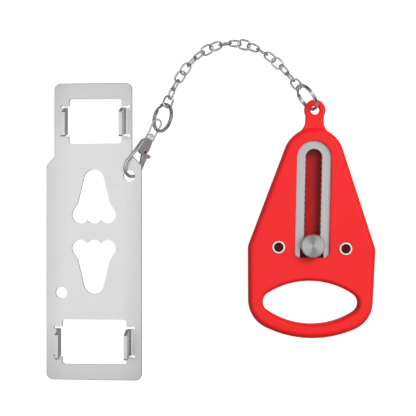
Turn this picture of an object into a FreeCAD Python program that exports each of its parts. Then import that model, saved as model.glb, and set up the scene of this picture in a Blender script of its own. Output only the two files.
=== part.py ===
import FreeCAD, Part
import math
import os
from FreeCAD import Placement, Rotation, Vector

# Portable door lock: a claw plate on a chain and a hand grip with a sliding lock stud.
# Row frame in millimetres: the grip lies on its back on z = 0, its loop points to +Y, and the
# origin lies midway between its two rivets. The chain, clasp and plate lie to its left (-X).

# Grip (two moulded halves)
grip_half_width = 29.9
grip_foot_half_width = 29.2
foot_y = -25.0
grip_bottom_y = -42.4
bottom_arc_radius = 49.5
shoulder_radius = 7.0
corner_radius = 14.0
crown_y = 42.1
crown_radius = 14.2
split_z = 5.5
front_z = 9.8
front_edge_radius = 2.8
back_edge_radius = 2.2

# Loop at the top of the grip
loop_y = 64.7
loop_radius = 5.0
loop_hole_radius = 2.1
neck_half_width = 4.35
neck_flare_radius = 6.0
loop_half_thickness = 1.35
loop_edge_radius = 0.8
loop_hole_bevel = 0.6

# Finger hole: a lens of two arcs with rounded ends
finger_hole_y = -25.7
finger_hole_half_length = 22.4
finger_hole_half_height = 10.2
finger_hole_arc_radius = 36.5
finger_edge_radius = 2.0

# Window in the front half
window_half_width = 8.0
window_bottom_y = -4.6
window_corner_radius = 2.3
window_edge_bevel = 0.7

# Steel rail between the halves
rail_thickness = 1.8
rail_half_width = 11.0
rail_bottom_y = -10.0
notch_clearance = 0.68
notch_pitch = 2.7
notch_count = 16
mouth_half_width = 5.6
mouth_top_y = 0.3
mouth_bottom_y = -6.5
mouth_corner_radius = 1.4
notch_bevel = 0.35
ear_rim = 1.75
rail_clearance = 0.15

# Hollow rivets
rivet_x = 15.7
rivet_radius = 2.75
rivet_wall = 0.5
rivet_flange_overhang = 0.35
rivet_flange_height = 0.45
rivet_floor_z = 1.5
rivet_clearance = 0.05

# Sliding lock stud, its slider and friction washer
stud_y = 1.0
stud_travel = 41.0
stud_head_rim = 2.45
stud_head_height = 3.0
stud_head_bevel = 0.5
stud_neck_radius = 3.0
plate_gap = 2.1
slider_overhang = 1.32
slider_thickness = 1.5
washer_thickness = 0.5
washer_rim = 1.7
stud_tail_radius = 2.0
stud_rivet_rim = 0.8
stud_rivet_height = 0.5
turning_clearance = 0.05
pocket_side_clearance = 0.4
pocket_floor_z = 1.8

# Split rings
ring_outer_radius = 7.15
ring_band = 1.2
ring_height = 1.4
ring_edge_radius = 0.3
ring_hole_clearance = 0.4
grip_ring_side = 0.2
grip_ring_heading = 127.4
grip_ring_lean = 70.0
clasp_ring_heading = 76.9
clasp_ring_lean = 52.0
clasp_ring_entry = 7.5
clasp_ring_exit = 216.0
table_clearance = 0.05

# Chain
link_count = 19
link_wire = 0.9
link_inner_width = 3.3
link_inner_length = 4.85
link_slack = 0.3
chain_z = 2.7
chain_start_heading = 125.5
chain_end_heading = 253.1
chain_slow_ends = 0.091
chain_first_roll = 19.0
chain_roll_step = 48.0
chain_rise_links = 5

# Swivel clasp, drawn in its own frame: +X to the hook, +Y to the gate, +Z up
clasp_heading = 245.4
clasp_roll = -38.0
eye_roll = -20.0
eye_length = 10.8
eye_half_width = 2.5
eye_wire = 0.9
eye_base_length = 1.9
eye_base_half_width = 2.15
eye_base_half_thickness = 1.0
eye_pass = 4.6
eye_side = 0.0
swivel_gap = 0.15
swivel_radius = 0.55
swivel_head_radius = 1.0
swivel_head_height = 0.8
clasp_half_thickness = 1.3
hook_wire_radius = 0.72
hook_bow_x = 14.9
hook_bow_y = -1.4
hook_bow_radius = 4.8
hook_cross_angle = 4.0
hook_tip_angle = 48.0
hook_root_x = 2.2
hook_root_y = -2.9
gate_pin_x = 6.4
gate_pin_y = 0.4
gate_pin_radius = 0.6
gate_half_thickness = 0.7
gate_side_clearance = 0.1

# Claw plate, drawn in its own frame: +X across, +Y along, underside on z = 0
sheet = 1.5
plate_half_width = 22.75
plate_half_length = 70.0
plate_corner_radius = 3.0
narrow_left = 18.95
narrow_right = 18.2
shoulder_low_y = 31.2
shoulder_high_y = 35.7
plate_edge_radius = 0.25
window_y = 52.1
plate_window_half_height = 10.6
plate_window_radius = 1.3
top_window_x = 0.6
top_window_half_width = 12.55
low_window_x = 0.2
low_window_half_width = 15.4
claw_height = 8.0
claw_half_base = 6.2
claw_lean = 2.0
claw_bend_radius = 1.5
claw_recess = 0.2
relief_radius = 0.8
tether_x = 16.9
tether_y = 26.2
spare_x = -15.6
spare_y = -29.0
tether_hole_radius = 2.8
plate_turn = 1.35
plate_tilt = 6.5

# Feet cut in the plate, measured from the middle of each heel's end
foot_gap_half = 3.8
heel_radius = 4.95
foot_length = 25.6
waist_from_heel = 15.7
waist_half_width = 7.65
toe_radius = 4.1
toe_spacing = 6.45


def point(x, y, z=0.0):
    return Vector(x, y, z)


def line(a, b):
    return Part.LineSegment(a, b).toShape()


def arc_about(centre, radius, start, stop):
    """Arc in a level plane from one angle to the other, in degrees."""
    def at(angle):
        return centre + point(radius * math.cos(math.radians(angle)), radius * math.sin(math.radians(angle)))
    return Part.Arc(at(start), at((start + stop) / 2.0), at(stop)).toShape()


def prism(wire, height):
    return Part.Face(wire).extrude(Vector(0, 0, height))


def polygon_prism(points, z, height):
    corners = [point(x, y, z) for x, y in points]
    return prism(Part.makePolygon(corners + corners[:1]), height)


def cylinder(x, y, z, radius, height):
    return Part.makeCylinder(radius, height, point(x, y, z))


def block(x0, x1, y0, y1, z0, z1):
    return Part.makeBox(x1 - x0, y1 - y0, z1 - z0, point(x0, y0, z0))


def upright_edges_near(solid, spots):
    """The upright edge nearest to each spot."""
    upright = [e for e in solid.Edges if len(e.Vertexes) == 2
               and math.hypot(e.Vertexes[0].X - e.Vertexes[1].X, e.Vertexes[0].Y - e.Vertexes[1].Y) < 1e-6]

    def nearest(x, y):
        return min(upright, key=lambda e: math.hypot(e.Vertexes[0].X - x, e.Vertexes[0].Y - y))
    return [nearest(x, y) for x, y in spots]


def level_edges(solid, z, inside=None):
    """Edges lying in the plane at z, all of them or those whose box lies in (x0, x1, y0, y1)."""
    found = []
    for edge in solid.Edges:
        box = edge.BoundBox
        if abs(box.ZMin - z) > 1e-6 or abs(box.ZMax - z) > 1e-6:
            continue
        if inside is None:
            found.append(edge)
        elif box.XMin > inside[0] and box.XMax < inside[1] and box.YMin > inside[2] and box.YMax < inside[3]:
            found.append(edge)
    return found


def single(shape):
    """One clean solid out of a boolean's result."""
    shape = shape.removeSplitter()
    return max(shape.Solids, key=lambda s: s.Volume)


def save(name, shape):
    shape.exportStep("parts/" + name + ".step")


# ---------------------------------------------------------------- grip


def grip_body(z, height):
    """Outline of the grip without its neck: crown arc, straight flanks, feet and the bottom arc."""
    crown = point(0, crown_y, z)
    reach = math.hypot(grip_half_width, crown_y)
    to_shoulder = math.degrees(math.atan2(-crown_y, grip_half_width))
    touch = to_shoulder + math.degrees(math.acos(crown_radius / reach))
    bottom = point(0, grip_bottom_y + bottom_arc_radius, z)
    slope = (grip_half_width - grip_foot_half_width) / -foot_y
    # where the flank below the shoulder, x = half width + slope y, meets the bottom arc
    a = slope * slope + 1.0
    b = 2.0 * (grip_half_width * slope - bottom.y)
    c = grip_half_width ** 2 + bottom.y ** 2 - bottom_arc_radius ** 2
    corner_y = (-b - math.sqrt(b * b - 4.0 * a * c)) / (2.0 * a)
    corner_x = grip_half_width + slope * corner_y
    corner_angle = math.degrees(math.atan2(corner_y - bottom.y, corner_x))
    top = arc_about(crown, crown_radius, touch, 180.0 - touch)
    base = arc_about(bottom, bottom_arc_radius, -180.0 - corner_angle, corner_angle)
    left_shoulder = point(-grip_half_width, 0, z)
    right_shoulder = point(grip_half_width, 0, z)
    left_corner = point(-corner_x, corner_y, z)
    right_corner = point(corner_x, corner_y, z)
    tip_x = crown_radius * math.cos(math.radians(touch))
    tip_y = crown_y + crown_radius * math.sin(math.radians(touch))
    edges = [
        top,
        line(point(-tip_x, tip_y, z), left_shoulder),
        line(left_shoulder, left_corner),
        base,
        line(right_corner, right_shoulder),
        line(right_shoulder, point(tip_x, tip_y, z)),
    ]
    solid = prism(Part.Wire(edges), height)
    shoulders = [(-grip_half_width, 0), (grip_half_width, 0)]
    solid = solid.makeFillet(shoulder_radius, upright_edges_near(solid, shoulders))
    corners = [(-corner_x, corner_y), (corner_x, corner_y)]
    return solid.makeFillet(corner_radius, upright_edges_near(solid, corners))


def lens(z, height):
    """Finger hole: two flat arcs joined by end arcs tangent to both."""
    centre_drop = finger_hole_arc_radius - finger_hole_half_height
    end_radius = (finger_hole_arc_radius ** 2 - finger_hole_half_length ** 2 - centre_drop ** 2) / (
        2.0 * (finger_hole_arc_radius - finger_hole_half_length))
    end_x = finger_hole_half_length - end_radius
    angle = math.degrees(math.atan2(centre_drop, end_x))
    middle = point(0, finger_hole_y, z)
    edges = [
        arc_about(middle - point(0, centre_drop), finger_hole_arc_radius, 180.0 - angle, angle),
        arc_about(middle + point(end_x, 0), end_radius, angle, -angle),
        arc_about(middle + point(0, centre_drop), finger_hole_arc_radius, -angle, angle - 180.0),
        arc_about(middle - point(end_x, 0), end_radius, 180.0 + angle, 180.0 - angle),
    ]
    return prism(Part.Wire(edges), height)


def neck(z, height, round_z):
    """Thin neck and loop that stand out of the crown, rounded along the face at round_z."""
    flare_x = neck_half_width + neck_flare_radius
    flare_y = crown_y + math.sqrt((crown_radius + neck_flare_radius) ** 2 - flare_x ** 2)
    lean = math.degrees(math.atan2(flare_y - crown_y, flare_x))
    loop_join = math.degrees(math.acos(neck_half_width / loop_radius))
    join_y = loop_y - loop_radius * math.sin(math.radians(loop_join))
    crown = point(0, crown_y, z)
    outward = point(math.cos(math.radians(lean)), math.sin(math.radians(lean)))
    start = crown + outward * crown_radius
    right_in = crown + outward * (crown_radius - 4.0)
    left_in = point(-right_in.x, right_in.y, z)
    edges = [
        line(right_in, start),
        arc_about(point(flare_x, flare_y, z), neck_flare_radius, 180.0 + lean, 180.0),
        line(point(neck_half_width, flare_y, z), point(neck_half_width, join_y, z)),
        arc_about(point(0, loop_y, z), loop_radius, -loop_join, 180.0 + loop_join),
        line(point(-neck_half_width, join_y, z), point(-neck_half_width, flare_y, z)),
        arc_about(point(-flare_x, flare_y, z), neck_flare_radius, 0.0, -lean),
        line(point(-start.x, start.y, z), left_in),
        line(left_in, right_in),
    ]
    solid = prism(Part.Wire(edges), height)
    edges_out = [e for e in level_edges(solid, round_z) if e.BoundBox.YMax > flare_y - 0.1]
    return solid.makeFillet(loop_edge_radius, edges_out)


def loop_hole(z_low, z_high):
    """Hole of the loop with a bevel at both faces."""
    hole = cylinder(0, loop_y, z_low, loop_hole_radius, z_high - z_low)
    low = Part.makeCone(loop_hole_radius + loop_hole_bevel, loop_hole_radius, loop_hole_bevel,
                        point(0, loop_y, z_low))
    high = Part.makeCone(loop_hole_radius, loop_hole_radius + loop_hole_bevel, loop_hole_bevel,
                         point(0, loop_y, z_high - loop_hole_bevel))
    return hole.fuse([low, high])


def window(z, height, grow=0.0):
    """Round-topped window of the front half, wider by grow on every side."""
    half = window_half_width + grow
    low = window_bottom_y - grow
    solid = block(-half, half, low, crown_y, z, z + height)
    corners = upright_edges_near(solid, [(-half, low), (half, low)])
    solid = solid.makeFillet(window_corner_radius + grow, corners)
    return solid.fuse(cylinder(0, crown_y, z, half, height))


def window_bevel():
    """Sloping band cut along the window's upper edge."""
    steps = 4
    cuts = []
    for step in range(steps):
        grow = window_edge_bevel * (1.0 - math.cos(math.radians(90.0 * (step + 1) / steps)))
        depth = window_edge_bevel * (1.0 - math.sin(math.radians(90.0 * step / steps)))
        cuts.append(window(front_z - depth, depth + 1.0, grow))
    return cuts[0].fuse(cuts[1:])


def rail_outline(z, height, grow=0.0):
    """Outline of the steel rail: a round-topped strip with an ear at each rivet."""
    half = rail_half_width + grow
    strip = block(-half, half, rail_bottom_y - grow, crown_y, z, z + height)
    ear_radius = rivet_radius + ear_rim
    ears = block(-rivet_x, rivet_x, -ear_radius - grow, ear_radius + grow, z, z + height)
    tops = [cylinder(0, crown_y, z, half, height)]
    for x in (-rivet_x, rivet_x):
        tops.append(cylinder(x, 0, z, ear_radius + grow, height))
    return strip.fuse([ears] + tops)


def notch_radius():
    return stud_neck_radius + notch_clearance


def notch_middles():
    """The first notch holds the stud at the end of its travel; the others follow towards the mouth."""
    top_y = stud_y + stud_travel + notch_clearance * 0.7
    return [top_y - k * notch_pitch for k in range(notch_count)]


def slot(z, height):
    """Row of overlapping round notches that ends in a square mouth."""
    notches = [cylinder(0, y, z, notch_radius(), height) for y in notch_middles()]
    mouth = block(-mouth_half_width, mouth_half_width, mouth_bottom_y, mouth_top_y, z, z + height)
    corners = [(-mouth_half_width, mouth_top_y), (mouth_half_width, mouth_top_y)]
    mouth = mouth.makeFillet(mouth_corner_radius, upright_edges_near(mouth, corners))
    half = notch_radius() * 0.8
    bridge = block(-half, half, mouth_top_y - 1.0, stud_y + 2.0, z, z + height)
    return mouth.fuse([bridge] + notches)


def notch_bevels():
    """Bevels round the upper edge of every notch."""
    low = split_z + rail_thickness - notch_bevel
    cones = [Part.makeCone(notch_radius(), notch_radius() + notch_bevel, notch_bevel, point(0, y, low))
             for y in notch_middles()]
    return cones[0].fuse(cones[1:])


def slot_rail():
    bottom = split_z
    rail = rail_outline(bottom, rail_thickness).cut(slot(bottom, rail_thickness)).cut(notch_bevels())
    for x in (-rivet_x, rivet_x):
        rail = rail.cut(cylinder(x, 0, bottom, rivet_radius + rivet_clearance, rail_thickness))
    return single(rail)


def rivet_hole(x, z0, z1):
    return cylinder(x, 0, z0, rivet_radius, z1 - z0)


def front_cover():
    height = front_z - split_z
    body = grip_body(split_z, height)
    body = body.makeFillet(front_edge_radius, level_edges(body, front_z))
    body = body.cut(lens(split_z - 1.0, height + 2.0))
    hole_box = (-grip_half_width, grip_half_width, finger_hole_y - finger_hole_half_height - 0.5,
                finger_hole_y + finger_hole_half_height + 0.5)
    body = body.makeFillet(finger_edge_radius, level_edges(body, front_z, hole_box))
    body = body.fuse(neck(split_z, loop_half_thickness, split_z + loop_half_thickness))
    body = body.cut(loop_hole(split_z - loop_half_thickness, split_z + loop_half_thickness))
    body = body.cut(window(split_z - 1.0, height + 2.0)).cut(window_bevel())
    body = body.cut(rail_outline(split_z - 1.0, rail_thickness + 1.0, rail_clearance))
    for x in (-rivet_x, rivet_x):
        body = body.cut(rivet_hole(x, split_z, front_z + 1.0))
    return single(body)


def back_cover():
    body = grip_body(0.0, split_z)
    body = body.makeFillet(back_edge_radius, level_edges(body, 0.0))
    body = body.cut(lens(-1.0, split_z + 2.0))
    hole_box = (-grip_half_width, grip_half_width, finger_hole_y - finger_hole_half_height - 0.5,
                finger_hole_y + finger_hole_half_height + 0.5)
    body = body.makeFillet(finger_edge_radius, level_edges(body, 0.0, hole_box))
    low = split_z - loop_half_thickness
    body = body.fuse(neck(low, loop_half_thickness, low))
    body = body.cut(loop_hole(low, split_z + loop_half_thickness))
    half = max(slider_radius(), mouth_half_width) + pocket_side_clearance
    bottom = min(stud_y - slider_radius() - pocket_side_clearance, mouth_bottom_y)
    top = stud_y + stud_travel + slider_radius() + pocket_side_clearance - half
    pocket = block(-half, half, bottom, top, pocket_floor_z, split_z + 1.0)
    body = body.cut(pocket.fuse(cylinder(0, top, pocket_floor_z, half, split_z + 1.0 - pocket_floor_z)))
    for x in (-rivet_x, rivet_x):
        body = body.cut(rivet_hole(x, rivet_floor_z, split_z + 1.0))
    return single(body)


def hollow_rivet(x):
    """Tube whose end is rolled outwards over the front half."""
    tube = cylinder(x, 0, rivet_floor_z, rivet_radius, front_z - rivet_floor_z)
    flange = cylinder(x, 0, front_z, rivet_radius + rivet_flange_overhang, rivet_flange_height)
    flange = flange.makeFillet(rivet_flange_height * 0.6, level_edges(flange, front_z + rivet_flange_height))
    bore = cylinder(x, 0, rivet_floor_z - 1.0, rivet_radius - rivet_wall, front_z + rivet_flange_height)
    return single(tube.fuse(flange).cut(bore))


def washer_top():
    return split_z - turning_clearance


def slider_radius():
    """The slider is wider than the slot, so that it can't pull through."""
    return notch_radius() + slider_overhang


def slider_top():
    return washer_top() - washer_thickness


def slider_plate():
    """Round slider that carries the stud under the rail."""
    low = slider_top() - slider_thickness
    disc = cylinder(0, stud_y, low, slider_radius(), slider_thickness)
    disc = disc.makeChamfer(0.2, level_edges(disc, low))
    return single(disc.cut(cylinder(0, stud_y, low, stud_tail_radius + turning_clearance, slider_thickness)))


def friction_washer():
    ring = cylinder(0, stud_y, slider_top(), stud_neck_radius + washer_rim, washer_thickness)
    hole = cylinder(0, stud_y, slider_top(), stud_neck_radius + turning_clearance, washer_thickness)
    return single(ring.cut(hole))


def lock_stud():
    """Flat-headed stud: bevelled head, neck through the rail, tail through the slider, riveted end."""
    head_low = front_z + plate_gap
    head_high = head_low + stud_head_height
    tail_low = slider_top() - slider_thickness - turning_clearance
    outline = [
        point(0, 0, tail_low - stud_rivet_height),
        point(stud_tail_radius + stud_rivet_rim, 0, tail_low - stud_rivet_height),
        point(stud_tail_radius + stud_rivet_rim, 0, tail_low),
        point(stud_tail_radius, 0, tail_low),
        point(stud_tail_radius, 0, slider_top() + turning_clearance),
        point(stud_neck_radius, 0, slider_top() + turning_clearance),
        point(stud_neck_radius, 0, head_low),
        point(stud_neck_radius + stud_head_rim - 0.2, 0, head_low),
        point(stud_neck_radius + stud_head_rim, 0, head_low + 0.2),
        point(stud_neck_radius + stud_head_rim, 0, head_high - stud_head_bevel),
        point(stud_neck_radius + stud_head_rim - stud_head_bevel, 0, head_high),
        point(0, 0, head_high),
    ]
    face = Part.Face(Part.makePolygon(outline + outline[:1]))
    face.translate(point(0, stud_y))
    return face.revolve(point(0, stud_y), Vector(0, 0, 1), 360)


# ---------------------------------------------------------------- frames along the chain


def heading(angle):
    """Level unit vector at an angle from +X."""
    return point(math.cos(math.radians(angle)), math.sin(math.radians(angle)))


def frame(origin, along, roll):
    """Placement with +X along a direction and +Y level to its left, then rolled about it."""
    along = Vector(along).normalize()
    left = Vector(0, 0, 1).cross(along).normalize()
    up = along.cross(left)
    level = Placement(origin, Rotation(along, left, up, "XYZ"))
    return level.multiply(Placement(Vector(), Rotation(Vector(1, 0, 0), roll)))


def placed(shape, placement):
    copy = shape.copy()
    copy.Placement = placement
    return copy


def ring_mean_radius():
    return ring_outer_radius - ring_band / 2.0


def ring_point(centre, along, lean, angle, radius):
    """Point of a leaning ring, its angle counted from the level diameter towards the raised right side."""
    level = heading(along)
    right = heading(along - 90.0)
    raised = right * math.cos(math.radians(lean)) + Vector(0, 0, 1) * math.sin(math.radians(lean))
    return centre + (level * math.cos(math.radians(angle)) + raised * math.sin(math.radians(angle))) * radius


def ring_centre_height(lean):
    """Height at which a leaning ring's lower side just clears the table."""
    slope = math.radians(lean)
    return ring_outer_radius * math.sin(slope) + ring_height / 2.0 * math.cos(slope) + table_clearance


def split_ring(centre, along, lean):
    """Flat-wound ring, its axis at right angles to the plane that leans to the right of its heading."""
    r = ring_mean_radius()
    half = ring_band / 2.0
    section = [
        point(r - half, 0, -ring_height / 2.0),
        point(r + half, 0, -ring_height / 2.0),
        point(r + half, 0, ring_height / 2.0),
        point(r - half, 0, ring_height / 2.0),
    ]
    solid = Part.Face(Part.makePolygon(section + section[:1])).revolve(Vector(), Vector(0, 0, 1), 360)
    solid = Part.makeSolid(Part.Shell(solid.Faces))
    solid = solid.makeFillet(ring_edge_radius, solid.Edges)
    return placed(solid, frame(centre, heading(along), -lean))


def grip_ring_centre():
    """The ring clears the low end of the loop hole's wall and reaches out along its heading."""
    slope = math.radians(grip_ring_lean)
    height = ring_centre_height(grip_ring_lean)
    wall_low = split_z - loop_half_thickness + loop_hole_bevel
    drop = (height - wall_low) / math.sin(slope)
    inner = ring_outer_radius - ring_band
    reach = loop_hole_radius - ring_hole_clearance + math.sqrt(inner ** 2 - drop ** 2)
    aside = (height - (split_z + wall_low) / 2.0) / math.tan(slope) - grip_ring_side
    level = point(0, loop_y) + heading(grip_ring_heading) * reach + heading(grip_ring_heading - 90.0) * aside
    return Vector(level.x, level.y, height)


def link_pitch():
    return link_inner_length - link_slack


def chain_joints():
    """Points between neighbouring links, from the grip's ring to the clasp's ring."""
    inner = ring_mean_radius() - (ring_band + link_slack) / 2.0
    start = ring_point(grip_ring_centre(), grip_ring_heading, grip_ring_lean, -10.0, inner)
    end_ring = point(0, 0, ring_centre_height(clasp_ring_lean))
    end_height = ring_point(end_ring, clasp_ring_heading, clasp_ring_lean, clasp_ring_entry, inner).z
    rises = (start.z - chain_z, end_height - chain_z)
    here = Vector(start)
    joints = [here]
    for i in range(1, link_count + 1):
        near_start = max(0.0, 1.0 - i / chain_rise_links) ** 2
        near_end = max(0.0, 1.0 - (link_count - i) / chain_rise_links) ** 2
        z = chain_z + rises[0] * near_start + rises[1] * near_end
        level_step = math.sqrt(link_pitch() ** 2 - (z - here.z) ** 2)
        along = (i - 0.5) / link_count
        ease = along - chain_slow_ends * math.sin(2.0 * math.pi * along)
        turn = chain_start_heading + (chain_end_heading - chain_start_heading) * ease
        step = heading(turn) * level_step
        here = Vector(here.x + step.x, here.y + step.y, z)
        joints.append(here)
    return joints


def chain_link(index, start, end):
    """Oval wire link: two half rings and two straight runs."""
    wire = link_wire / 2.0
    end_radius = link_inner_width / 2.0 + wire
    straight = (link_inner_length + link_wire) / 2.0 - end_radius
    disc = Part.Face(Part.Wire(Part.makeCircle(wire, point(straight, end_radius), Vector(1, 0, 0))))
    bow = disc.revolve(point(straight, 0), Vector(0, 0, 1), -180)
    other = bow.copy()
    other.rotate(Vector(), Vector(0, 0, 1), 180)
    runs = [Part.makeCylinder(wire, 2.0 * straight, point(-straight, y), Vector(1, 0, 0))
            for y in (-end_radius, end_radius)]
    solid = single(bow.fuse([other] + runs))
    roll = chain_first_roll + chain_roll_step * index
    return placed(solid, frame((start + end) / 2.0, end - start, roll))


# ---------------------------------------------------------------- swivel clasp


def clasp_ring_centre(joint):
    """Centre of the clasp's ring, hung on the chain's last joint."""
    inner = ring_mean_radius() - (ring_band + link_slack) / 2.0
    reach = ring_point(Vector(), clasp_ring_heading, clasp_ring_lean, clasp_ring_entry, inner)
    level = joint - reach
    return Vector(level.x, level.y, ring_centre_height(clasp_ring_lean))


def tether_height():
    """Height of the middle of the plate's tether hole, with the plate's left edge on the table."""
    tilt = math.radians(plate_tilt)
    return (plate_half_width + tether_x) * math.sin(tilt) + sheet / 2.0 * math.cos(tilt) + table_clearance


def hook_cross():
    """Point of the hook's bow that lies in the middle of the plate's hole, in the clasp's frame."""
    return point(hook_bow_x, hook_bow_y) + heading(hook_cross_angle) * hook_bow_radius


def clasp_direction(ring_pass):
    """Clasp axis: level heading, pitched so that the hook reaches the plate's hole."""
    cross = hook_cross()
    run = eye_length - eye_pass + swivel_gap + cross.x
    side_rise = cross.y * math.sin(math.radians(clasp_roll))
    pitch = math.asin((tether_height() - ring_pass.z - side_rise) / run)
    flat = heading(clasp_heading) * math.cos(pitch)
    return Vector(flat.x, flat.y, math.sin(pitch))


def swivel_eye():
    """Wire eye with a flat base that turns on the swivel rivet; +X to the clasp, x = 0 at the base's end."""
    wire = eye_wire / 2.0
    bow_radius = eye_half_width - wire
    bow_x = -eye_length + eye_half_width
    base_x = -eye_base_length
    arm_y = eye_base_half_width - wire
    disc = Part.Face(Part.Wire(Part.makeCircle(wire, point(bow_x, bow_radius), Vector(1, 0, 0))))
    bow = disc.revolve(point(bow_x, 0), Vector(0, 0, 1), 180)
    pieces = []
    for side in (-1, 1):
        start = point(bow_x, side * bow_radius)
        end = point(base_x + 0.6, side * arm_y)
        run = end - start
        pieces.append(Part.makeCylinder(wire, run.Length, start, run))
        pieces.append(Part.makeSphere(wire, start))
    base = block(base_x, 0, -eye_base_half_width, eye_base_half_width, -eye_base_half_thickness,
                 eye_base_half_thickness)
    base = base.makeFillet(0.6, [e for e in base.Edges if abs(e.BoundBox.XLength - eye_base_length) < 1e-6])
    hole = Part.makeCylinder(swivel_radius + turning_clearance, eye_base_length + 2.0, point(base_x - 1.0, 0),
                             Vector(1, 0, 0))
    return single(bow.fuse(pieces + [base]).cut(hole))


def swivel_rivet():
    """Headed rivet that joins the eye to the clasp's body."""
    head_x = -eye_base_length - turning_clearance - swivel_head_height
    head = Part.makeCylinder(swivel_head_radius, swivel_head_height, point(head_x, 0), Vector(1, 0, 0))
    dome_edges = [e for e in head.Edges if abs(e.BoundBox.XMax - head_x) < 1e-6]
    head = head.makeFillet(swivel_head_height * 0.6, dome_edges)
    shank = Part.makeCylinder(swivel_radius, -head_x + 1.5, point(head_x, 0), Vector(1, 0, 0))
    return single(head.fuse(shank))


def hook_arm():
    """Straight arm tangent to a round bow, with a ball tip."""
    bow = point(hook_bow_x, hook_bow_y)
    root = point(hook_root_x, hook_root_y)
    to_root = root - bow
    spread = math.degrees(math.acos(hook_bow_radius / to_root.Length))
    touch = math.degrees(math.atan2(to_root.y, to_root.x)) + spread
    touch_point = bow + heading(touch) * hook_bow_radius
    tip = bow + heading(hook_tip_angle) * hook_bow_radius
    disc = Part.Face(Part.Wire(Part.makeCircle(hook_wire_radius, touch_point, heading(touch + 90.0))))
    curve = disc.revolve(bow, Vector(0, 0, 1), hook_tip_angle - (touch - 360.0 if touch > 0 else touch))
    run = touch_point - root
    arm = Part.makeCylinder(hook_wire_radius, run.Length, root, run)
    joint = Part.makeSphere(hook_wire_radius, touch_point)
    return curve.fuse([arm, Part.makeSphere(hook_wire_radius, tip), joint])


def clasp_body():
    """Cast body with two cheeks for the gate and the hook arm along its left side."""
    t = clasp_half_thickness
    outline = [(swivel_gap, -2.0), (swivel_gap, 1.6), (4.6, 2.1), (7.2, 1.7), (8.1, 0.6), (8.0, -1.0),
               (7.3, -3.1), (8.6, -4.9), (1.6, -3.6)]
    body = polygon_prism(outline, -t, 2.0 * t)
    body = body.makeFillet(0.35, level_edges(body, t) + level_edges(body, -t))
    body = body.fuse(hook_arm())
    half = gate_half_thickness + gate_side_clearance
    throat = block(3.6, 9.0, -1.3, 4.0, -half, half)
    body = body.cut(throat)
    body = body.cut(cylinder(gate_pin_x, gate_pin_y, -2.0 * t, gate_pin_radius, 4.0 * t))
    shank = Part.makeCylinder(swivel_radius, 3.0, point(swivel_gap - 1.0, 0), Vector(1, 0, 0))
    return single(body.cut(shank))


def gate_pin():
    pin = cylinder(gate_pin_x, gate_pin_y, -clasp_half_thickness, gate_pin_radius, 2.0 * clasp_half_thickness)
    return pin


def clasp_gate():
    """Flat gate with a thumb nub, hinged on the pin and closing on the hook's tip."""
    t = gate_half_thickness
    outline = [(4.9, -0.3), (8.3, -0.2), (13.6, 1.7), (16.9, 1.9), (17.0, 2.9), (14.2, 3.6), (8.0, 3.05),
               (5.2, 1.5)]
    gate = polygon_prism(outline, -t, 2.0 * t)
    gate = gate.fuse([cylinder(7.4, 3.8, -t, 0.95, 2.0 * t), block(6.6, 8.2, 1.5, 3.8, -t, t)])
    spring_room = cylinder(gate_pin_x, gate_pin_y, -spring_half(), spring_radius() + turning_clearance,
                           2.0 * spring_half())
    hole = cylinder(gate_pin_x, gate_pin_y, -2.0 * t, gate_pin_radius + turning_clearance, 4.0 * t)
    return single(gate.cut(hole).cut(spring_room))


def spring_half():
    return gate_half_thickness * 0.5


def spring_radius():
    return gate_pin_radius + 0.4


def gate_spring():
    """Torsion spring round the gate's pin, as the closed shape of its coil."""
    inner = gate_pin_radius + turning_clearance
    low = -spring_half() + turning_clearance
    height = 2.0 * (spring_half() - turning_clearance)
    coil = cylinder(gate_pin_x, gate_pin_y, low, spring_radius(), height)
    return single(coil.cut(cylinder(gate_pin_x, gate_pin_y, low, inner, height)))


# ---------------------------------------------------------------- claw plate


def foot_cut():
    """Foot-shaped hole, heel end at y = 0 and toes towards -Y."""
    z = -1.0
    height = sheet + 2.0
    heel = cylinder(0, -heel_radius, z, heel_radius, height)
    toe_y = -foot_length + toe_radius
    toes = [cylinder(k * toe_spacing, toe_y, z, toe_radius, height) for k in (-1, 0, 1)]
    ball = toe_spacing + toe_radius * math.cos(math.radians(20.0))
    ball_y = toe_y + toe_radius * math.sin(math.radians(20.0))
    sides = [(heel_radius * 0.975, -heel_radius * 0.78), (waist_half_width, -waist_from_heel), (ball, ball_y),
             (toe_spacing, toe_y)]
    mirrored = [(-x, y) for x, y in reversed(sides)]
    sole = polygon_prism(sides + mirrored, z, height)
    cut = heel.fuse([sole] + toes).removeSplitter()
    corners = [(s * waist_half_width, -waist_from_heel) for s in (-1, 1)]
    return cut.makeFillet(1.2, upright_edges_near(cut, corners))


def claw(edge_x, middle_y, side):
    """Tab bent up beside a window; its inner face stands claw_recess behind the window's edge."""
    outer = claw_bend_radius + sheet
    face_x = edge_x + side * claw_recess
    bend_x = face_x + side * outer
    top = sheet + claw_height
    low_y = middle_y - claw_half_base
    start = point(bend_x, low_y, outer)
    ring = Part.makeCylinder(outer, 2.0 * claw_half_base, start, Vector(0, 1, 0))
    hole = Part.makeCylinder(claw_bend_radius, 2.0 * claw_half_base, start, Vector(0, 1, 0))
    quarter = block(min(face_x, bend_x), max(face_x, bend_x), low_y, low_y + 2.0 * claw_half_base, 0, outer)
    bend = ring.cut(hole).common(quarter)
    back_x = face_x + side * sheet
    high_y = middle_y + claw_half_base
    wall = polygon_prism([(low_y, outer), (high_y, outer), (high_y - claw_lean, top),
                          (low_y - claw_lean * 0.8, top)], 0, sheet)
    wall.Placement = Placement(point(min(face_x, back_x), 0), Rotation(Vector(1, 1, 1), 120))
    tips = [e for e in wall.Edges if abs(e.BoundBox.YLength) < 1e-6 and abs(e.BoundBox.ZMax - top) < 1e-6]
    wall = wall.makeFillet(0.8, tips)
    return bend.fuse(wall), bend_x


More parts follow.
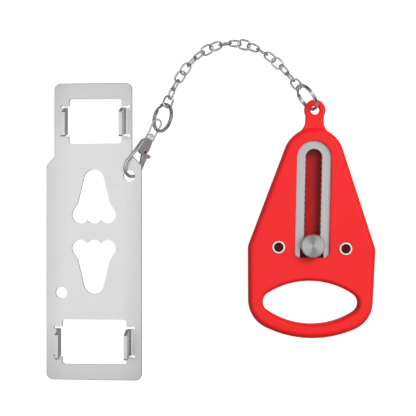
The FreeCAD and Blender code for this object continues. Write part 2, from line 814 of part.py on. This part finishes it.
def lock_plate():
    left = -plate_half_width
    right = plate_half_width
    low = -plate_half_length
    high = plate_half_length
    outline = [(left, low), (right, low), (right, shoulder_low_y), (narrow_right, shoulder_high_y),
               (narrow_right, high), (-narrow_left, high), (-narrow_left, shoulder_high_y),
               (left, shoulder_low_y)]
    plate = polygon_prism(outline, 0, sheet)
    ends = [(left, low), (right, low), (narrow_right, high), (-narrow_left, high)]
    plate = plate.makeFillet(plate_corner_radius, upright_edges_near(plate, ends))
    bends = [(left, shoulder_low_y), (right, shoulder_low_y), (narrow_right, shoulder_high_y),
             (-narrow_left, shoulder_high_y)]
    plate = plate.makeFillet(1.5, upright_edges_near(plate, bends))
    plate = plate.makeFillet(plate_edge_radius, level_edges(plate, sheet))
    claws = []
    windows = ((top_window_x, window_y, top_window_half_width), (low_window_x, -window_y, low_window_half_width))
    for x, y, half in windows:
        low_edge = y - plate_window_half_height
        opening = block(x - half, x + half, low_edge, low_edge + 2.0 * plate_window_half_height, -1, sheet + 1)
        corners = [(x + sx * half, y + sy * plate_window_half_height) for sx in (-1, 1) for sy in (-1, 1)]
        plate = plate.cut(opening.makeFillet(plate_window_radius, upright_edges_near(opening, corners)))
        for side in (-1, 1):
            tab, bend_x = claw(x + side * half, y, side)
            low_y = y - claw_half_base
            high_y = y + claw_half_base
            edge = x + side * half
            x0, x1 = sorted((edge - side * 1.0, bend_x))
            plate = plate.cut(block(x0, x1, low_y, high_y, -1, sheet + 1))
            slit = relief_radius * 0.6
            for relief_y in (low_y - slit, high_y + slit):
                plate = plate.cut(cylinder(bend_x, relief_y, -1, relief_radius, sheet + 2))
                s0, s1 = sorted((edge - side * 1.0, bend_x))
                plate = plate.cut(block(s0, s1, relief_y - slit, relief_y + slit, -1, sheet + 1))
            claws.append(tab)
    plate = plate.fuse(claws)
    for x, y in ((tether_x, tether_y), (spare_x, spare_y)):
        plate = plate.cut(cylinder(x, y, -1, tether_hole_radius, sheet + 2))
    upper = foot_cut()
    upper.translate(point(0, foot_gap_half + foot_length))
    lower = foot_cut()
    lower.rotate(Vector(), Vector(0, 0, 1), 180)
    lower.translate(point(0, -foot_gap_half - foot_length))
    return single(plate.cut(upper).cut(lower))


def plate_placement(hook_point):
    """The plate's tether hole, at mid thickness, lies on the hook's bow."""
    turn = Rotation(Vector(0, 0, 1), plate_turn).multiply(Rotation(Vector(0, 1, 0), -plate_tilt))
    return Placement(hook_point - turn.multVec(point(tether_x, tether_y, sheet / 2.0)), turn)


# ---------------------------------------------------------------- assembly

os.makedirs("parts", exist_ok=True)
save("front_cover", front_cover())
save("back_cover", back_cover())
save("slot_rail", slot_rail())
save("rivet_left", hollow_rivet(-rivet_x))
save("rivet_right", hollow_rivet(rivet_x))
save("slider_plate", slider_plate())
save("friction_washer", friction_washer())
save("lock_stud", lock_stud())

grip_ring = grip_ring_centre()
save("grip_split_ring", split_ring(grip_ring, grip_ring_heading, grip_ring_lean))
joints = chain_joints()
for i in range(link_count):
    save("chain_link_%02d" % (i + 1), chain_link(i, joints[i], joints[i + 1]))
clasp_ring = clasp_ring_centre(joints[-1])
save("clasp_split_ring", split_ring(clasp_ring, clasp_ring_heading, clasp_ring_lean))

ring_pass = ring_point(clasp_ring, clasp_ring_heading, clasp_ring_lean, clasp_ring_exit, ring_mean_radius())
clasp_along = clasp_direction(ring_pass)
eye_end = frame(ring_pass, clasp_along, 0.0).multVec(point(eye_length - eye_pass, eye_side))
eye_frame = frame(eye_end, clasp_along, eye_roll)
clasp_frame = frame(eye_end, clasp_along, clasp_roll)
save("swivel_eye", placed(swivel_eye(), eye_frame))
save("swivel_rivet", placed(swivel_rivet(), clasp_frame))
save("clasp_body", placed(clasp_body(), clasp_frame))
save("gate_pin", placed(gate_pin(), clasp_frame))
save("gate_spring", placed(gate_spring(), clasp_frame))
save("clasp_gate", placed(clasp_gate(), clasp_frame))
plate_frame = plate_placement(clasp_frame.multVec(hook_cross()))
save("lock_plate", placed(lock_plate(), plate_frame))
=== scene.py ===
import math

import bmesh
import bpy
import numpy as np
from mathutils import Matrix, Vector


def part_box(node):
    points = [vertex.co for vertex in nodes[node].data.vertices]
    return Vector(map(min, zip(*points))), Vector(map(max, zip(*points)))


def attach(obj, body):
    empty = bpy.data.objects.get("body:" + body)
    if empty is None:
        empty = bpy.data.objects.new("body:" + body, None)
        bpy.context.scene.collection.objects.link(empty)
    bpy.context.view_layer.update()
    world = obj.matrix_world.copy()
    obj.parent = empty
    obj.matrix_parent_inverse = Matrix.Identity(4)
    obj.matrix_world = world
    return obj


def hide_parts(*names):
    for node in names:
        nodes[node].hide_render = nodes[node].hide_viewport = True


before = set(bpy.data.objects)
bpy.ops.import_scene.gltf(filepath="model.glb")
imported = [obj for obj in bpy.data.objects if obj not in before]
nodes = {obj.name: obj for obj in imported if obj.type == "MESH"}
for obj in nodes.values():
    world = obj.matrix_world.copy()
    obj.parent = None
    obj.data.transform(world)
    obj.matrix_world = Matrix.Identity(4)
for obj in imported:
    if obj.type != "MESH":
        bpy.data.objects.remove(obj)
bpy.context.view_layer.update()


# ---------------------------------------------------------------------------------------------
# The two moulded halves of the hand grip. They are red ABS with a fine spark-eroded texture, and
# the hollow rivets clamp them over the steel rail.

def node_tree(name):
    """A new material with an empty Principled shader; returns material, nodes, links and shader."""
    material = bpy.data.materials.new(name)
    material.use_nodes = True
    tree = material.node_tree
    shader = tree.nodes["Principled BSDF"]
    return material, tree.nodes, tree.links, shader


def object_place(kinds, links, turn=(0, 0, 0), scale=(1, 1, 1), centre=(0, 0, 0)):
    """Object coordinates moved by centre, turned and scaled, as a vector output in metres."""
    where = kinds.new("ShaderNodeTexCoord")
    mapping = kinds.new("ShaderNodeMapping")
    mapping.inputs["Location"].default_value = centre
    mapping.inputs["Rotation"].default_value = turn
    mapping.inputs["Scale"].default_value = scale
    links.new(where.outputs["Object"], mapping.inputs["Vector"])
    return mapping.outputs["Vector"]


def grain(kinds, links, place, scale, detail=4.0, rough=0.6):
    """Fractal noise read at a place; scale counts cells per metre."""
    noise = kinds.new("ShaderNodeTexNoise")
    noise.inputs["Scale"].default_value = scale
    noise.inputs["Detail"].default_value = detail
    noise.inputs["Roughness"].default_value = rough
    links.new(place, noise.inputs["Vector"])
    return noise.outputs["Fac"]


def spread(kinds, links, value, low, high, to_low, to_high):
    """The value taken from low..high to to_low..to_high, held at both ends."""
    fit = kinds.new("ShaderNodeMapRange")
    fit.inputs["From Min"].default_value = low
    fit.inputs["From Max"].default_value = high
    fit.inputs["To Min"].default_value = to_low
    fit.inputs["To Max"].default_value = to_high
    links.new(value, fit.inputs["Value"])
    return fit.outputs["Result"]


def blend_colour(kinds, links, factor, first, second):
    """The first colour where the factor is 0 and the second where it is 1."""
    mix = kinds.new("ShaderNodeMix")
    mix.data_type = "RGBA"
    mix.inputs["A"].default_value = (*first, 1)
    mix.inputs["B"].default_value = (*second, 1)
    links.new(factor, mix.inputs["Factor"])
    return mix.outputs["Result"]


def relief(kinds, links, height, distance, strength, shader, before=None):
    """Bump of a height field, laid on an earlier bump when one is given."""
    bump = kinds.new("ShaderNodeBump")
    bump.inputs["Distance"].default_value = distance
    bump.inputs["Strength"].default_value = strength
    links.new(height, bump.inputs["Height"])
    if before is not None:
        links.new(before, bump.inputs["Normal"])
    links.new(bump.outputs["Normal"], shader.inputs["Normal"])
    return bump.outputs["Normal"]


def dress(names, material):
    """Gives one material to CAD nodes."""
    for name in names:
        piece = nodes[name]
        if piece.material_slots:
            for slot in piece.material_slots:
                slot.material = material
        else:
            piece.data.materials.append(material)


def arithmetic(kinds, links, operation, first, second=0.0, third=0.0):
    """One step of arithmetic; each operand is an output or a number."""
    step = kinds.new("ShaderNodeMath")
    step.operation = operation
    for socket, value in zip(step.inputs, (first, second, third)):
        if isinstance(value, (int, float)):
            socket.default_value = value
        else:
            links.new(value, socket)
    return step.outputs[0]


def red_plastic():
    """Red moulded plastic: soft flow clouds in the colour, fine eroded texture, patchy gloss. The
    slider's pocket and the rivets' sockets carry painted shade, a darker mottled red: below the
    parting line, and near the middle plane or near a rivet's axis."""
    pocket_half_width = 0.0066
    pocket_low_y, pocket_high_y = -0.008, 0.052
    socket_radius = 0.0029
    # Heights between which the pocket and the sockets get painted shade.
    shade_low_z, shade_high_z = 0.0008, 0.00545
    material, kinds, links, shader = node_tree("red_plastic")
    place = object_place(kinds, links)
    clouds = grain(kinds, links, place, 35.0, 3.0)
    colour = blend_colour(kinds, links, clouds, (0.90, 0.012, 0.014), (0.96, 0.018, 0.020))
    split = kinds.new("ShaderNodeSeparateXYZ")
    links.new(place, split.inputs[0])
    aside = arithmetic(kinds, links, "ABSOLUTE", split.outputs["X"])
    middle = arithmetic(kinds, links, "LESS_THAN", aside, pocket_half_width)
    above_mouth = arithmetic(kinds, links, "GREATER_THAN", split.outputs["Y"], pocket_low_y)
    below_loop = arithmetic(kinds, links, "LESS_THAN", split.outputs["Y"], pocket_high_y)
    pocket = arithmetic(kinds, links, "MULTIPLY", middle, above_mouth)
    pocket = arithmetic(kinds, links, "MULTIPLY", pocket, below_loop)
    low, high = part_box("rivet_right")
    rivet_x = (low[0] + high[0]) / 2.0
    off_axis = arithmetic(kinds, links, "SUBTRACT", aside, rivet_x)
    off_axis = arithmetic(kinds, links, "MULTIPLY", off_axis, off_axis)
    off_axis = arithmetic(kinds, links, "MULTIPLY_ADD", split.outputs["Y"], split.outputs["Y"], off_axis)
    sockets = arithmetic(kinds, links, "LESS_THAN", off_axis, socket_radius ** 2)
    painted_shade_mask = arithmetic(kinds, links, "MAXIMUM", pocket, sockets)
    under = arithmetic(kinds, links, "LESS_THAN", split.outputs["Z"], shade_high_z)
    over = arithmetic(kinds, links, "GREATER_THAN", split.outputs["Z"], shade_low_z)
    painted_shade_mask = arithmetic(kinds, links, "MULTIPLY", painted_shade_mask, under)
    painted_shade_mask = arithmetic(kinds, links, "MULTIPLY", painted_shade_mask, over)
    # Painted shade: the pocket and the rivet sockets are coloured a darker mottled red for the shade that
    # falls into them.
    shade_mottle = grain(kinds, links, place, 260.0, 4.0)
    pocket_shade = blend_colour(kinds, links, shade_mottle, (0.40, 0.0, 0.001), (0.56, 0.001, 0.002))
    mix = kinds.new("ShaderNodeMix")
    mix.data_type = "RGBA"
    links.new(painted_shade_mask, mix.inputs["Factor"])
    links.new(colour, mix.inputs["A"])
    links.new(pocket_shade, mix.inputs["B"])
    links.new(mix.outputs["Result"], shader.inputs["Base Color"])
    gloss = grain(kinds, links, place, 900.0, 5.0)
    links.new(spread(kinds, links, gloss, 0.3, 0.7, 0.34, 0.46), shader.inputs["Roughness"])
    fine = grain(kinds, links, place, 4200.0, 2.0)
    relief(kinds, links, fine, 0.00004, 0.35, shader)
    shader.inputs["Specular IOR Level"].default_value = 0.34
    return material


dress(["front_cover", "back_cover"], red_plastic())


# ---------------------------------------------------------------------------------------------
# The notched rail, blanked from stainless strip and brushed along its length. It lies in a recess
# of the front half and shows through the window. The round slider under it is the same steel.

def brushed_steel(name, tone, turn, along, rough_low, rough_high, depth, edge_shade_box=None):
    """Steel brushed along one axis: streaks are noise squeezed across the stroke. Where a node's box
    is given, painted shade makes the tone fall towards the edges of that box and lifts it a little in the
    middle."""
    material, kinds, links, shader = node_tree(name)
    shader.inputs["Metallic"].default_value = 1.0
    scale = [900.0, 900.0, 900.0]
    scale[along] = 12.0
    place = object_place(kinds, links, turn, tuple(scale))
    streaks = grain(kinds, links, place, 4.0, 6.0, 0.7)
    whole = object_place(kinds, links)
    clouds = grain(kinds, links, whole, 40.0, 2.0)
    dark = tuple(tone * t for t in (0.955, 0.96, 0.965))
    light = tuple(tone * t for t in (1.03, 1.035, 1.04))
    shade = kinds.new("ShaderNodeMath")
    shade.operation = "ADD"
    links.new(spread(kinds, links, streaks, 0.3, 0.7, 0.0, 0.6), shade.inputs[0])
    links.new(spread(kinds, links, clouds, 0.3, 0.7, 0.0, 0.4), shade.inputs[1])
    colour = blend_colour(kinds, links, shade.outputs[0], dark, light)
    if edge_shade_box is not None:
        low, high = (np.array(v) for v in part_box(edge_shade_box))
        centre = (low + high) / 2.0
        half = (high - low) / 2.0
        split = kinds.new("ShaderNodeSeparateXYZ")
        scale = (1.0 / half[0], 1.0 / half[1], 1.0)
        own = object_place(kinds, links, (0, 0, 0), scale, (-centre[0] / half[0], -centre[1] / half[1], 0))
        links.new(own, split.inputs[0])
        aside = arithmetic(kinds, links, "ABSOLUTE", split.outputs["X"])
        endways = arithmetic(kinds, links, "ABSOLUTE", split.outputs["Y"])
        # Painted shade: darker towards the box's sides and ends, a little lighter in the middle.
        edge_shade = arithmetic(kinds, links, "ADD", spread(kinds, links, aside, 0.55, 1.0, 0.0, 0.14),
                          spread(kinds, links, endways, 0.60, 1.0, 0.0, 0.17))
        shade_factor = arithmetic(kinds, links, "SUBTRACT", 1.05, edge_shade)
        scaled = kinds.new("ShaderNodeVectorMath")
        scaled.operation = "SCALE"
        links.new(colour, scaled.inputs[0])
        links.new(shade_factor, scaled.inputs["Scale"])
        colour = scaled.outputs["Vector"]
    links.new(colour, shader.inputs["Base Color"])
    links.new(spread(kinds, links, streaks, 0.3, 0.7, rough_low, rough_high), shader.inputs["Roughness"])
    relief(kinds, links, streaks, depth, 0.5, shader)
    return material


rail_steel = brushed_steel("brushed_rail", 0.62, (0, 0, 0), 1, 0.30, 0.42, 0.00001)
dress(["slot_rail", "slider_plate"], rail_steel)


# ---------------------------------------------------------------------------------------------
# The two hollow rivets, nickel-plated tube rolled outwards over the front half.

def plated_steel(name, tone, rough_low, rough_high, cell):
    """Nickel plate: faint warm clouds, small pits in the gloss."""
    material, kinds, links, shader = node_tree(name)
    shader.inputs["Metallic"].default_value = 1.0
    place = object_place(kinds, links)
    clouds = grain(kinds, links, place, cell, 3.0)
    dark = (tone * 0.93, tone * 0.925, tone * 0.915)
    light = (tone, tone, tone * 1.005)
    links.new(blend_colour(kinds, links, clouds, dark, light), shader.inputs["Base Color"])
    pits = grain(kinds, links, place, cell * 6.0, 4.0)
    links.new(spread(kinds, links, pits, 0.35, 0.7, rough_low, rough_high), shader.inputs["Roughness"])
    relief(kinds, links, pits, 0.00001, 0.3, shader)
    return material


dress(["rivet_left", "rivet_right"], plated_steel("plated_rivet", 0.82, 0.12, 0.25, 500.0))


# ---------------------------------------------------------------------------------------------
# The friction washer under the rail, punched from natural nylon sheet.

def nylon():
    """Milky nylon with faint clouds."""
    material, kinds, links, shader = node_tree("washer_nylon")
    place = object_place(kinds, links)
    clouds = grain(kinds, links, place, 300.0)
    colour = blend_colour(kinds, links, clouds, (0.72, 0.70, 0.64), (0.80, 0.79, 0.74))
    links.new(colour, shader.inputs["Base Color"])
    shader.inputs["Roughness"].default_value = 0.5
    relief(kinds, links, clouds, 0.00002, 0.2, shader)
    return material


dress(["friction_washer"], nylon())


# ---------------------------------------------------------------------------------------------
# The lock stud, turned from bar. The tool leaves fine rings round its axis on the head's face.

def turned_steel():
    """Turned steel: the tool's rings scatter light towards and away from the stud's axis, so the
    shader is stretched along the radius; the rings' tone is a wave of the distance from the axis."""
    material, kinds, links, shader = node_tree("turned_stud")
    shader.inputs["Metallic"].default_value = 1.0
    low, high = (np.array(v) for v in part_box("lock_stud"))
    middle = (low + high) / 2.0
    place = object_place(kinds, links, (0, 0, 0), (1, 1, 0), (-middle[0], -middle[1], 0))
    length = kinds.new("ShaderNodeVectorMath")
    length.operation = "LENGTH"
    links.new(place, length.inputs[0])
    ring_pitch = 0.0009
    wave = arithmetic(kinds, links, "MULTIPLY", length.outputs["Value"], 2.0 * math.pi / ring_pitch)
    rings = arithmetic(kinds, links, "SINE", wave)
    clouds = grain(kinds, links, object_place(kinds, links), 700.0)
    tone = arithmetic(kinds, links, "MULTIPLY_ADD", rings, 0.25, clouds)
    colour = blend_colour(kinds, links, tone, (0.58, 0.57, 0.58), (0.84, 0.83, 0.84))
    links.new(colour, shader.inputs["Base Color"])
    links.new(spread(kinds, links, clouds, 0.3, 0.7, 0.46, 0.54), shader.inputs["Roughness"])
    outward = kinds.new("ShaderNodeVectorMath")
    outward.operation = "NORMALIZE"
    links.new(place, outward.inputs[0])
    links.new(outward.outputs["Vector"], shader.inputs["Tangent"])
    shader.inputs["Anisotropic"].default_value = 0.92
    return material


dress(["lock_stud"], turned_steel())


# ---------------------------------------------------------------------------------------------
# The two split rings, each wound two turns from flat nickel-plated spring wire. One hangs in the
# grip's loop, the other in the clasp's eye.

def node_points(name):
    """All corners of a CAD node's mesh as an array."""
    mesh = nodes[name].data
    flat = np.empty(len(mesh.vertices) * 3)
    mesh.vertices.foreach_get("co", flat)
    return flat.reshape(-1, 3)


def own_axes(name):
    """Centre of a node's box along its own axes, and those axes from longest to shortest spread."""
    corners = node_points(name)
    middle = corners.mean(axis=0)
    spreads, axes = np.linalg.eigh(np.cov((corners - middle).T))
    axes = axes[:, ::-1].T
    if np.linalg.det(axes) < 0:
        axes[2] = -axes[2]
    own = (corners - middle) @ axes.T
    centre = middle + ((own.min(axis=0) + own.max(axis=0)) / 2.0) @ axes
    return centre, axes


def surface(name, grid, closed_along, closed_round):
    """Mesh of a grid of points (along, round, 3); open ends of a tube are closed with a fan."""
    rows, columns = grid.shape[:2]
    points = grid.reshape(-1, 3)
    i = np.arange(rows if closed_along else rows - 1)
    j = np.arange(columns if closed_round else columns - 1)
    a, b = np.meshgrid(i, j, indexing="ij")
    a, b = a.ravel(), b.ravel()
    a2, b2 = (a + 1) % rows, (b + 1) % columns
    quads = np.stack([a * columns + b, a2 * columns + b, a2 * columns + b2, a * columns + b2], axis=1)
    faces = quads.tolist()
    if not closed_along and closed_round:
        faces.append(list(range(columns)))
        faces.append([(rows - 1) * columns + k for k in range(columns)][::-1])
    mesh = bpy.data.meshes.new(name)
    mesh.from_pydata(points.tolist(), [], faces)
    mesh.update()
    mesh.polygons.foreach_set("use_smooth", np.ones(len(mesh.polygons), dtype=bool))
    piece = bpy.data.objects.new(name, mesh)
    bpy.context.scene.collection.objects.link(piece)
    return piece


def flat_section(width, height, corner, count):
    """Outline of a rounded bar: corner centres plus a circle, the corners in turn."""
    angle = np.arange(count) * 2.0 * np.pi / count + np.pi / count
    x = np.sign(np.cos(angle)) * (width / 2.0 - corner) + corner * np.cos(angle)
    y = np.sign(np.sin(angle)) * (height / 2.0 - corner) + corner * np.sin(angle)
    return x, y


def wound_ring(name, node, body, material):
    """Two flat turns of a rounded bar; a smooth cubic step lifts the wire from the lower to the
    upper layer within 30 degrees."""
    outer_radius, band, height = 0.00715, 0.0012, 0.0014
    layer = height / 2.0 - 0.00001
    wire_height, wire_corner = layer - 0.00002, 0.00014
    first_end, last_end = math.radians(12.0), math.radians(708.0)
    step_start, step_length = math.radians(345.0), math.radians(30.0)
    seam = 2.4
    centre, axes = own_axes(node)
    turn = np.linspace(first_end, last_end, 480)
    step = np.clip((turn - step_start) / step_length, 0.0, 1.0)
    rise = (step * step * (3.0 - 2.0 * step) - 0.5) * layer
    x, y = flat_section(band, wire_height, wire_corner, 20)
    radius = outer_radius - band / 2.0 + x[None, :]
    angle = (turn + seam)[:, None]
    grid = np.stack([radius * np.cos(angle), radius * np.sin(angle), rise[:, None] + y[None, :]], axis=2)
    piece = surface(name, centre + grid @ axes, False, True)
    piece.data.materials.append(material)
    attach(piece, body)
    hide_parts(node)


ring_plate = plated_steel("plated_ring", 0.84, 0.14, 0.24, 420.0)
wound_ring("grip_ring_wire", "grip_split_ring", "grip_ring", ring_plate)
wound_ring("clasp_ring_wire", "clasp_split_ring", "clasp_ring", ring_plate)


# ---------------------------------------------------------------------------------------------
# The chain: oval links bent from round wire and welded at one side. The weld leaves a small
# swelling. Each link rides on its own body.

def oval_link(number, material):
    """A circle carried round an oval of two half rings and two straight runs, fuller at the weld,
    which lies on one straight run."""
    node = "chain_link_%02d" % number
    centre, axes = own_axes(node)
    own = (node_points(node) - centre) @ axes.T
    half_long, half_wide = np.abs(own).max(axis=0)[:2]
    wire = 0.00045
    weld_swell, weld_spread = 0.08, 0.16
    bow = half_wide - wire
    straight = half_long - wire - bow
    turn = np.linspace(0.0, 2.0 * np.pi, 72, endpoint=False)
    path_x = bow * np.cos(turn) + straight * np.sign(np.round(np.cos(turn), 6))
    path_y = bow * np.sin(turn)
    out_x, out_y = np.cos(turn), np.sin(turn)
    weld = 1.0 + weld_swell * np.exp(-((turn - np.pi / 2.0) / weld_spread) ** 2)
    around = np.linspace(0.0, 2.0 * np.pi, 14, endpoint=False)
    thick = (wire * weld)[:, None]
    reach = thick * np.cos(around)[None, :]
    grid = np.stack([path_x[:, None] + out_x[:, None] * reach, path_y[:, None] + out_y[:, None] * reach,
                     thick * np.sin(around)[None, :]], axis=2)
    piece = surface("link_%02d_wire" % number, centre + grid @ axes, True, True)
    piece.data.materials.append(material)
    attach(piece, "link_%02d" % number)
    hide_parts(node)


chain_plate = plated_steel("plated_chain", 0.84, 0.12, 0.20, 600.0)
for number in range(1, 20):
    oval_link(number, chain_plate)


# ---------------------------------------------------------------------------------------------
# The swivel snap hook: three zinc castings with a satin nickel plate, tumbled so that their edges
# are round. The gate turns on a steel pin against a small spring; a rivet holds the eye.

clasp_plate = plated_steel("plated_clasp", 0.96, 0.40, 0.54, 350.0)
dress(["swivel_rivet"], clasp_plate)
# Pin and spring get a near-black tone: painted shade for the dark pin hole and the dark slot under the
# gate.
dress(["gate_pin", "gate_spring"], plated_steel("shade_dark_pin", 0.14, 0.30, 0.45, 500.0))


def casting(name, node, body, passes, material):
    """A cast copy of a node: its solid, in millimetres for the cells' sake, is rebuilt as one skin of
    0.11 mm cells, and each pass moves every corner half way to the mean of its neighbours, which
    rounds the edges."""
    mesh = nodes[node].data.copy()
    cells = bmesh.new()
    cells.from_mesh(mesh)
    bmesh.ops.remove_doubles(cells, verts=cells.verts, dist=1e-7)
    bmesh.ops.scale(cells, vec=(1000.0, 1000.0, 1000.0), verts=cells.verts)
    cells.to_mesh(mesh)
    cells.free()
    piece = bpy.data.objects.new(name, mesh)
    bpy.context.scene.collection.objects.link(piece)
    skin = piece.modifiers.new("skin", "REMESH")
    skin.mode = "VOXEL"
    skin.voxel_size = 0.11
    ease = piece.modifiers.new("ease", "SMOOTH")
    ease.factor = 0.5
    ease.iterations = passes
    depsgraph = bpy.context.evaluated_depsgraph_get()
    cast = bpy.data.meshes.new_from_object(piece.evaluated_get(depsgraph))
    piece.modifiers.clear()
    corners = np.empty(len(cast.vertices) * 3)
    cast.vertices.foreach_get("co", corners)
    cast.vertices.foreach_set("co", corners / 1000.0)
    cast.polygons.foreach_set("use_smooth", np.ones(len(cast.polygons), dtype=bool))
    cast.materials.clear()
    cast.materials.append(material)
    cast.update()
    piece.data = cast
    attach(piece, body)
    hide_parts(node)


casting("clasp_body_cast", "clasp_body", "clasp", 26, clasp_plate)
casting("swivel_eye_cast", "swivel_eye", "eye", 10, clasp_plate)
casting("clasp_gate_cast", "clasp_gate", "gate", 14, clasp_plate)


# ---------------------------------------------------------------------------------------------
# The claw plate: 1.5 mm stainless sheet, stamped with its windows, feet and holes, and its claws
# bent up. It is brushed across its width and hangs in the snap hook.

stroke = (0, 0, math.radians(-1.35))
# The plate's tone is painted darker towards its sides and ends: painted shade.
dress(["lock_plate"], brushed_steel("brushed_plate", 0.83, stroke, 0, 0.34, 0.44, 0.000006, "lock_plate"))


# ---------------------------------------------------------------------------------------------
# Floor, light and camera: a white paper sweep, a tent lit from above and both sides, one soft key
# light that gives no reflection and a small one that does, and a camera straight above.

def paper_floor():
    """White paper sweep: a wide flat sheet just under the part."""
    reach, top = 3.0, -0.0001
    corners = [(-reach, -reach, top), (reach, -reach, top), (reach, reach, top), (-reach, reach, top)]
    mesh = bpy.data.meshes.new("floor")
    mesh.from_pydata(corners, [], [(0, 1, 2, 3)])
    floor = bpy.data.objects.new("floor", mesh)
    bpy.context.scene.collection.objects.link(floor)
    material, kinds, links, shader = node_tree("paper")
    shader.inputs["Base Color"].default_value = (0.34, 0.34, 0.34, 1)
    shader.inputs["Roughness"].default_value = 0.9
    shader.inputs["Specular IOR Level"].default_value = 0.0
    shader.inputs["Emission Color"].default_value = (1, 1, 1, 1)
    seen = kinds.new("ShaderNodeLightPath")
    glow = kinds.new("ShaderNodeMath")
    glow.operation = "MULTIPLY"
    glow.inputs[1].default_value = 0.90
    links.new(seen.outputs["Is Camera Ray"], glow.inputs[0])
    links.new(glow.outputs[0], shader.inputs["Emission Strength"])
    floor.data.materials.append(material)


def studio_world():
    """Tent lit from above and from both sides: dark low down, and dark bands at the head and the foot."""
    world = bpy.data.worlds.new("tent")
    bpy.context.scene.world = world
    world.use_nodes = True
    kinds, links = world.node_tree.nodes, world.node_tree.links
    back = kinds["Background"]
    back.inputs["Color"].default_value = (1, 1, 1, 1)
    where = kinds.new("ShaderNodeTexCoord")
    split = kinds.new("ShaderNodeSeparateXYZ")
    links.new(where.outputs["Generated"], split.inputs[0])

    overhead = kinds.new("ShaderNodeMapRange")
    overhead.interpolation_type = "SMOOTHSTEP"
    overhead.inputs["From Min"].default_value = 0.35
    overhead.inputs["From Max"].default_value = 0.90
    overhead.inputs["To Min"].default_value = 0.07
    overhead.inputs["To Max"].default_value = 1.22
    links.new(split.outputs["Z"], overhead.inputs["Value"])
    across = arithmetic(kinds, links, "MULTIPLY", split.outputs["X"], split.outputs["X"])
    along = arithmetic(kinds, links, "MULTIPLY", split.outputs["Y"], split.outputs["Y"])
    level = arithmetic(kinds, links, "ADD", arithmetic(kinds, links, "ADD", across, along), 0.012)
    ends = arithmetic(kinds, links, "DIVIDE", along, level)
    shade = arithmetic(kinds, links, "SUBTRACT", 1.0, arithmetic(kinds, links, "MULTIPLY", ends, 0.86))
    tent = arithmetic(kinds, links, "MULTIPLY", overhead.outputs["Result"], shade)
    seen = kinds.new("ShaderNodeLightPath")
    pale = kinds.new("ShaderNodeMix")
    pale.data_type = "FLOAT"
    pale.inputs["B"].default_value = 1.0
    links.new(seen.outputs["Is Camera Ray"], pale.inputs["Factor"])
    links.new(tent, pale.inputs["A"])
    links.new(pale.outputs["Result"], back.inputs["Strength"])


def soft_light(name, place, target, size, power):
    """Square softbox at a place, turned to a target."""
    light = bpy.data.lights.new(name, "AREA")
    light.size = size
    light.energy = power
    lamp = bpy.data.objects.new(name, light)
    bpy.context.scene.collection.objects.link(lamp)
    aim = np.array(target, dtype=float) - np.array(place, dtype=float)
    aim /= np.linalg.norm(aim)
    side = np.cross(aim, (0.0, 0.0, 1.0))
    side /= np.linalg.norm(side)
    up = np.cross(side, aim)
    columns = np.column_stack([side, up, -aim, np.array(place)])
    lamp.matrix_world = Matrix(np.vstack([columns, [0, 0, 0, 1]]).tolist())
    lamp.visible_camera = False
    return lamp


paper_floor()
studio_world()
key = soft_light("key", (0.45, 0.50, 0.80), (-0.03, 0.02, 0.0), 0.50, 7.2)
key.visible_glossy = False
soft_light("glint", (0.40, 0.42, 0.80), (-0.03, 0.02, 0.0), 0.22, 0.45)

camera_height, view_turn = 0.600, math.radians(1.35)
camera_data = bpy.data.cameras.new("camera")
camera = bpy.data.objects.new("camera", camera_data)
bpy.context.scene.collection.objects.link(camera)
view_width, sensor_width = 0.1976, 36.0
camera_data.sensor_width = sensor_width
camera_data.lens = sensor_width * camera_height / view_width
camera_data.clip_start = 0.01
camera.location = (-0.04916, 0.01752, camera_height)
camera.rotation_euler = (0.0, 0.0, view_turn)
bpy.context.scene.camera = camera
bpy.context.scene.view_settings.view_transform = "Standard"
